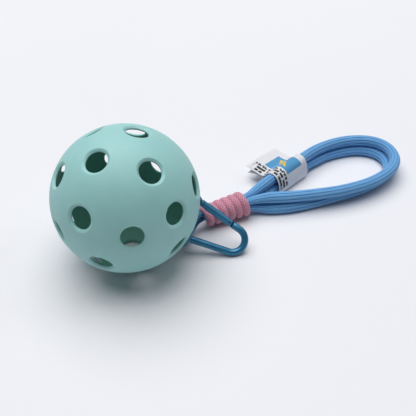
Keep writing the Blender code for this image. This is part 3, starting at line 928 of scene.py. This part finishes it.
def pins(look, coat):
    """The rivet with domed heads, the latch pin with rounded ends, the spring and its plunger."""
    cheek = GATE_RADIUS + 0.05 * MM
    head = 1.1 * MM
    rise = 0.35 * MM
    angles = [math.radians(a) for a in range(75, -1, -15)]
    dome = [(head * math.cos(a), cheek + rise * math.sin(a)) for a in angles]
    upper = [(0, cheek + rise), *dome, (0.6 * MM, cheek)]
    profile = upper + [(r, -z) for r, z in reversed(upper)]
    rivet = make_object("pivot_rivet", turned(profile, 32), coat, gate_matrix())
    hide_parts("gate_rivet")
    reach, radius, edge = 1.75 * MM, 0.45 * MM, 0.1 * MM
    profile = [(0, -reach), (radius - edge, -reach), (radius, -reach + edge)]
    profile += [(r, -z) for r, z in reversed(profile)]
    place = gate_matrix() @ Matrix.Translation((LATCH_X, 0, 0))
    pin = make_object("cross_pin", turned(profile, 28), coat, place)
    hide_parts("latch_pin")
    start, end, turns, per_turn = 5.9 * MM, 12.8 * MM, 7, 24
    coil, wire = 0.85 * MM, 0.17 * MM
    points = []
    for i in range(turns * per_turn + 1):
        angle = 2 * math.pi * i / per_turn
        out = Vector((0, math.cos(angle), math.sin(angle)))
        points.append(Vector((start + (end - start) * i / (turns * per_turn), 0, 0)) + coil * out)
    mesh = tube(points, carried_frames(points, Vector((0, 1, 0))), round_section(wire), 10)
    spring = make_object("coil_spring", mesh, look, gate_matrix())
    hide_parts("gate_spring")
    for piece in (rivet, pin, spring):
        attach(piece, "gate")
    face, shoulder, back = 1.8 * MM, 2.9 * MM, 5.0 * MM
    nose, wide, edge = 0.55 * MM, 1.1 * MM, 0.1 * MM
    profile = [(0, face), (nose - edge, face), (nose, face + edge), (nose, shoulder)]
    profile += [(wide - edge, shoulder), (wide, shoulder + edge), (wide, back - edge)]
    profile += [(wide - edge, back), (0, back)]
    mesh = turned(profile, 32)
    mesh.transform(Matrix.Rotation(math.radians(90), 4, "Y"))
    plunger = make_object("spring_plunger", mesh, look, gate_matrix())
    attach(plunger, "plunger")
    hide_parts("gate_plunger")


# --- lanyard --------------------------------------------------------------------------------


def ribbed_strand(name, node, route, twist, look):
    """A wrist cord: elastic core in a knitted cover with lengthwise ribs, squeezed at both ends."""
    points = smooth_route([placed(Vector(p) * MM) for p in route], 1.2 * MM)
    ribs = 10
    depth = 0.38 * MM
    reach = [min((p - points[0]).length, (p - points[-1]).length) / PINCH_LENGTH for p in points]

    def scale(i):
        t = min(reach[i], 1.0)
        return PINCH + (1 - PINCH) * t

    def valley(i, angle):
        wave = abs(math.cos(ribs / 2 * (angle + twist * i / len(points))))
        return max(0.0, 1 - wave * 1.9) ** 1.2

    def section(i, angle):
        radius = (CORD_RADIUS + 0.12 * MM) * scale(i) - depth * valley(i, angle) * scale(i)
        return radius * math.cos(angle), radius * math.sin(angle)

    # valley also gives each point's groove depth, which the cord material turns into painted shade.
    mesh = tube(points, carried_frames(points, Vector((0, 0, 1))), section, 96, valley)
    cord = make_object(name, mesh, look, angle=60)
    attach(cord, "lanyard")
    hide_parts(node)


def eye_strand(look):
    place = carabiner_matrix()
    points = smooth_route([place @ (Vector(p) * MM) for p in EYE], 0.8 * MM)
    lobes = 3

    def section(i, angle):
        radius = EYE_RADIUS * (0.97 - 0.03 * math.cos(lobes * (angle + 0.05 * i)))
        return radius * math.cos(angle), radius * math.sin(angle)

    mesh = tube(points, carried_frames(points, Vector((0, 0, 1))), section, 40)
    cord = make_object("eye_strand", mesh, look, angle=60)
    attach(cord, "lanyard")
    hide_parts("eye_cord")


def binding_matrix():
    low, high = placed(BINDING_LOW_END), placed(BINDING_HIGH_END)
    turn = (high - low).to_track_quat("Z", "Y").to_matrix().to_4x4()
    return Matrix.Translation(low) @ turn


def bundle(look):
    """The four squeezed strands inside the coil: two come from the eye, and two are cut off inside."""
    place = binding_matrix()
    back = place.inverted()
    eye = [carabiner_matrix() @ (Vector(p) * MM) for p in (EYE[0], EYE[-1])]
    length = (BINDING_HIGH_END - BINDING_LOW_END).length
    wrist_radius = CORD_RADIUS * PINCH
    mesh = bmesh.new()
    for strand, end, start in (
        (UPPER_STRAND, 0, eye[0]),
        (LOWER_STRAND, 0, eye[1]),
        (UPPER_STRAND, -1, None),
        (LOWER_STRAND, -1, None),
    ):
        outer = back @ placed(Vector(strand[end]) * MM)
        side = Vector((outer.x, outer.y, 0)).normalized()
        route = [outer + Vector((0, 0, 0.5 * MM)), side * 2.6 * MM + Vector((0, 0, length - 2 * MM))]
        route += [side * 2.2 * MM + Vector((0, 0, length * 0.5)), side * 1.9 * MM + Vector((0, 0, 7 * MM))]
        if start:
            arrival = back @ start
            route += [arrival.lerp(route[-1], 0.35), arrival]
        else:
            route.append(side * 1.8 * MM + Vector((0, 0, 5 * MM)))
        points = smooth_route(route, 0.8 * MM)
        count = len(points) - 1

        def section(i, angle):
            radius = wrist_radius + (EYE_RADIUS - 0.02 * MM - wrist_radius) * min(1.4 * i / count, 1)
            return radius * math.cos(angle), radius * math.sin(angle)

        one = tube(points, carried_frames(points, Vector((1, 0, 0))), section, 32)
        add_mesh(mesh, one)
    core = make_object("strand_bundle", mesh, look, place, angle=60)
    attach(core, "lanyard")
    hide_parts("cord_bundle")


def wrap(look):
    """The pink cord, wound round the bundle with its ends tucked in."""
    length = (BINDING_HIGH_END - BINDING_LOW_END).length
    place = binding_matrix()
    down = place.inverted().to_3x3() @ Vector((0, 0, -1))
    start_angle = math.atan2(down.y, down.x) + math.radians(90)
    flat = 1.9 * MM
    wide = 2.25 * MM
    start, end = -0.3 * MM, length - 1.1 * MM
    per_turn = 72
    total = int(BINDING_TURNS * per_turn)
    points = []
    for i in range(total + 1):
        share = i / total
        turn = start_angle + 2 * math.pi * BINDING_TURNS * share
        tuck = min(share, 1 - share) * BINDING_TURNS
        sink = (1 - min(tuck / 0.16, 1.0)) ** 2 * 2.4 * MM
        outer = BINDING_RADII[0] + (BINDING_RADII[1] - BINDING_RADII[0]) * share
        radius = outer - flat - sink
        along = start + (end - start) * share
        points.append(Vector((radius * math.cos(turn), radius * math.sin(turn), along)))
    frames = []
    for i in range(len(points)):
        ahead = (points[min(i + 1, total)] - points[max(i - 1, 0)]).normalized()
        out = Vector((points[i].x, points[i].y, 0)).normalized()
        out = (out - out.dot(ahead) * ahead).normalized()
        frames.append((ahead, out, ahead.cross(out)))

    def section(i, angle):
        swell = 1 + 0.02 * math.sin(i * 0.21) + 0.015 * math.sin(i * 0.53)
        x, y = math.cos(angle), math.sin(angle)
        return flat * swell * x, wide * swell * y

    mesh = tube(points, frames, section, 48)
    coil = make_object("wound_cord", mesh, look, place, angle=60)
    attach(coil, "lanyard")
    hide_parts("wrap_coil")
    points = [place @ p for p in points]


def flap_wave(y):
    """How far the label's free ends wave up or down across its width."""
    return 0.55 * MM * math.sin(y / LABEL_WIDTH * 5.2 + 0.6)


def label(look, thread):
    """The folded tape, with a softly waved flap and a row of stitches that closes the fold."""
    middle = smooth_route([Vector((m, 0, z)) * MM for m, z in LABEL_SECTION], 0.8 * MM)
    lengths = [0.0]
    for p, q in zip(middle, middle[1:]):
        lengths.append(lengths[-1] + (q - p).length)
    total = lengths[-1]
    columns = 30
    mesh = bmesh.new()
    uv = mesh.loops.layers.uv.new("UVMap")
    place = Matrix.Translation(placed(LABEL_CENTRE))
    place = place @ Matrix.Rotation(LABEL_AZIMUTH + math.pi / 2, 4, "Z")
    sides = []
    for face_side in (0.5, -0.5):
        rows = []
        for i, point in enumerate(middle):
            along = (middle[min(i + 1, len(middle) - 1)] - middle[max(i - 1, 0)]).normalized()
            normal = Vector((-along.z, 0, along.x))
            end = min(lengths[i], total - lengths[i]) / (16 * MM)
            loose = max(0.0, 1 - end)
            row = []
            for k in range(columns + 1):
                y = LABEL_WIDTH * (k / columns - 0.5)
                wave = loose * flap_wave(y)
                wave += 0.05 * MM * math.sin(lengths[i] * 900 + y * 500)
                offset = normal * (face_side * LABEL_THICKNESS * (0.8 if 0 < k < columns else 0.5))
                row.append(mesh.verts.new(point + Vector((0, y, wave)) + offset))
            rows.append(row)
        sides.append(rows)
    count = len(middle)

    def mark(face, places):
        for loop, (i, k) in zip(face.loops, places):
            loop[uv].uv = (lengths[i], LABEL_WIDTH * k / columns)

    for rows in sides:
        for i in range(count - 1):
            for k in range(columns):
                spots = ((i, k), (i, k + 1), (i + 1, k + 1), (i + 1, k))
                mark(mesh.faces.new([rows[a][b] for a, b in spots]), spots)
    front, back = sides
    border = [(i, 0) for i in range(count)] + [(count - 1, k) for k in range(1, columns + 1)]
    border += [(i, columns) for i in range(count - 2, -1, -1)] + [(0, k) for k in range(columns - 1, 0, -1)]
    for a, b in zip(border, border[1:] + border[:1]):
        corners = (front[a[0]][a[1]], front[b[0]][b[1]], back[b[0]][b[1]], back[a[0]][a[1]])
        mark(mesh.faces.new(corners), (a, b, b, a))
    tape = make_object("folded_label", mesh, look, place, angle=60)
    stitches = stitch_row(middle, lengths, thread, place)
    for piece in (tape, stitches):
        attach(piece, "lanyard")
    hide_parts("label_tape")


def stitch_row(middle, lengths, look, place):
    """A row of stitches on the upper ply, just outside the cords."""
    mesh = bmesh.new()
    thread_radius = 0.13 * MM
    target = 12.5 * MM
    index = min(range(len(middle)), key=lambda i: abs(lengths[i] - target))
    top = middle[index]
    stitch, gap, margin = 1.5 * MM, 0.5 * MM, 1.5 * MM
    count = int((LABEL_WIDTH - 2 * margin) / (stitch + gap))
    for k in range(count):
        y = -LABEL_WIDTH / 2 + margin + k * (stitch + gap)
        points = []
        for step in range(7):
            t = step / 6
            wave = 0.22 * flap_wave(y + stitch * t)
            rise = LABEL_THICKNESS * 0.42 + thread_radius * math.sin(math.pi * t) - 0.03 * MM
            points.append(top + Vector((0, y + stitch * t, wave + rise)))
        frames = carried_frames(points, Vector((1, 0, 0)))
        add_mesh(mesh, tube(points, frames, round_section(thread_radius), 8))
    return make_object("label_stitches", mesh, look, place)


def main():
    make_stage()
    knit_shades = ((0.080, 0.275, 0.59), (0.135, 0.385, 0.73), (0.195, 0.48, 0.84))
    braid_shades = ((0.022, 0.105, 0.21), (0.036, 0.155, 0.29), (0.065, 0.22, 0.38))
    pink_shades = ((0.40, 0.135, 0.205), (0.60, 0.24, 0.335), (0.75, 0.35, 0.455))
    blue_sheen = (0.7, 0.85, 1)
    cord_look = braided("blue_knit", knit_shades, 1.05 * MM, 14, 0.00010, 0.5, blue_sheen)
    eye_look = braided("blue_braid", braid_shades, 1.3 * MM, 6, 0.00012, 0.5, blue_sheen)
    pink_look = braided("pink_braid", pink_shades, 1.45 * MM, 8, 0.00022, 0.8, (1, 0.85, 0.9))
    ribbed_strand("upper_strand", "wrist_cord_upper", UPPER_STRAND, 1.2, cord_look)
    ribbed_strand("lower_strand", "wrist_cord_lower", LOWER_STRAND, 0.9, cord_look)
    eye_strand(eye_look)
    bundle(cord_look)
    wrap(pink_look)
    label(label_cloth(), thread_material())
    plastic = ball_plastic()
    ball_half("near_shell", "ball_half_near", 1, NEAR_TURN, plastic)
    ball_half("far_shell", "ball_half_far", -1, 0.0, plastic)
    metal = anodised("blue_anodising", 1.0)
    # The second material, a near-black blue, is painted shade for the tongues.
    carabiner_body(metal, anodised("painted_shade_anodising", 0.16))
    gate_tube(metal)
    pins(steel(), anodised("pin_anodising", 0.8))


main()
